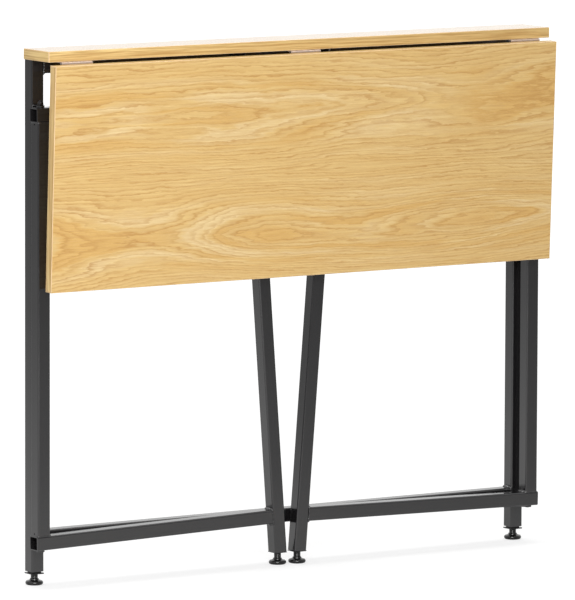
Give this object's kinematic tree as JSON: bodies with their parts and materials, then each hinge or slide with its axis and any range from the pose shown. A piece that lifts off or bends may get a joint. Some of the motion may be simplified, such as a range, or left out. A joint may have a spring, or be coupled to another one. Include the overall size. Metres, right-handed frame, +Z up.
{
  "type": "folding desk",
  "caption": "Narrow folding desk: a fixed top strip on a steel rear frame, a hinged drop leaf, and two swinging gates that carry the opened leaf.",
  "frame": {"origin": "on the floor, midway along the desk and midway between its front and its back", "axes": "+X along the desk to the viewer's right, +Y from the leaf to the rear frame, +Z up"},
  "size_m": [0.8483, 0.094, 0.75],
  "materials": {
    "board": "oak-print laminate on a core board, satin",
    "edge_band": "glued edge band, satin",
    "frame_paint": "anthracite powder coat, matt with a fine texture",
    "plastic": "moulded, matt",
    "zinc": "zinc plated",
    "hinge_steel": "nickel plated, satin"
  },
  "bodies": {
    "frame": {"top_strip": "board", "strip_edge_bands": "edge_band", "rear_post_left": "frame_paint", "rear_post_right": "frame_paint", "rear_top_rail": "frame_paint", "rear_bottom_rail": "frame_paint", "strip_tabs": "frame_paint", "strip_screws": "zinc", "upper_lug_left": "frame_paint", "upper_lug_right": "frame_paint", "lower_lug_left": "frame_paint", "lower_lug_right": "frame_paint", "pivot_washers": "plastic", "post_plug_left": "plastic", "post_plug_right": "plastic", "hinge_plates_strip": "hinge_steel", "hinge_pins": "zinc", "hinge_screws_strip": "zinc"},
    "leaf": {"drop_leaf": "board", "leaf_edge_bands": "edge_band", "hinge_plates_leaf": "hinge_steel", "hinge_screws_leaf": "zinc"},
    "gate_left": {"gate_post_left": "frame_paint", "gate_top_rail_left": "frame_paint", "gate_bottom_rail_left": "frame_paint", "gate_leg_left": "frame_paint", "gate_cap_left": "plastic", "gate_plug_left": "plastic", "pivot_bolts_left": "zinc", "lock_nut_left": "zinc"},
    "gate_right": {"gate_post_right": "frame_paint", "gate_top_rail_right": "frame_paint", "gate_bottom_rail_right": "frame_paint", "gate_leg_right": "frame_paint", "gate_cap_right": "plastic", "gate_plug_right": "plastic", "pivot_bolts_right": "zinc", "lock_nut_right": "zinc"},
    "foot_rear_left": {"rear_foot_left": "plastic"},
    "foot_gate_left": {"gate_foot_left": "plastic"},
    "foot_rear_right": {"rear_foot_right": "plastic"},
    "foot_gate_right": {"gate_foot_right": "plastic"}
  },
  "joints": [
    {"name": "leaf_hinge", "type": "hinge", "parent": "frame", "child": "leaf", "pos_m": [0, -0.02922, 0.7322], "axis": [-1, 0, 0], "range_deg": [0, 92.4]},
    {"name": "gate_left_swing", "type": "hinge", "parent": "frame", "child": "gate_left", "pos_m": [-0.4125, 0.00648, 0.36], "axis": [0, 0, -1], "range_deg": [0, 91]},
    {"name": "gate_right_swing", "type": "hinge", "parent": "frame", "child": "gate_right", "pos_m": [0.4125, 0.00648, 0.36], "axis": [0, 0, 1], "range_deg": [-0.6, 90.4]},
    {"name": "foot_rear_left_screw", "type": "slide", "parent": "frame", "child": "foot_rear_left", "axis": [0, 0, 1], "range_m": [-0.008, 0.006]},
    {"name": "foot_rear_right_screw", "type": "slide", "parent": "frame", "child": "foot_rear_right", "axis": [0, 0, 1], "range_m": [-0.008, 0.006]},
    {"name": "foot_gate_left_screw", "type": "slide", "parent": "gate_left", "child": "foot_gate_left", "axis": [0, 0, 1], "range_m": [-0.008, 0.006]},
    {"name": "foot_gate_right_screw", "type": "slide", "parent": "gate_right", "child": "foot_gate_right", "axis": [0, 0, 1], "range_m": [-0.008, 0.006]}
  ],
  "couplings": [
    {"joint": "gate_left_swing", "follows": "leaf_hinge", "ratio": 0.0595},
    {"joint": "gate_right_swing", "follows": "leaf_hinge", "ratio": 0.0595}
  ]
}
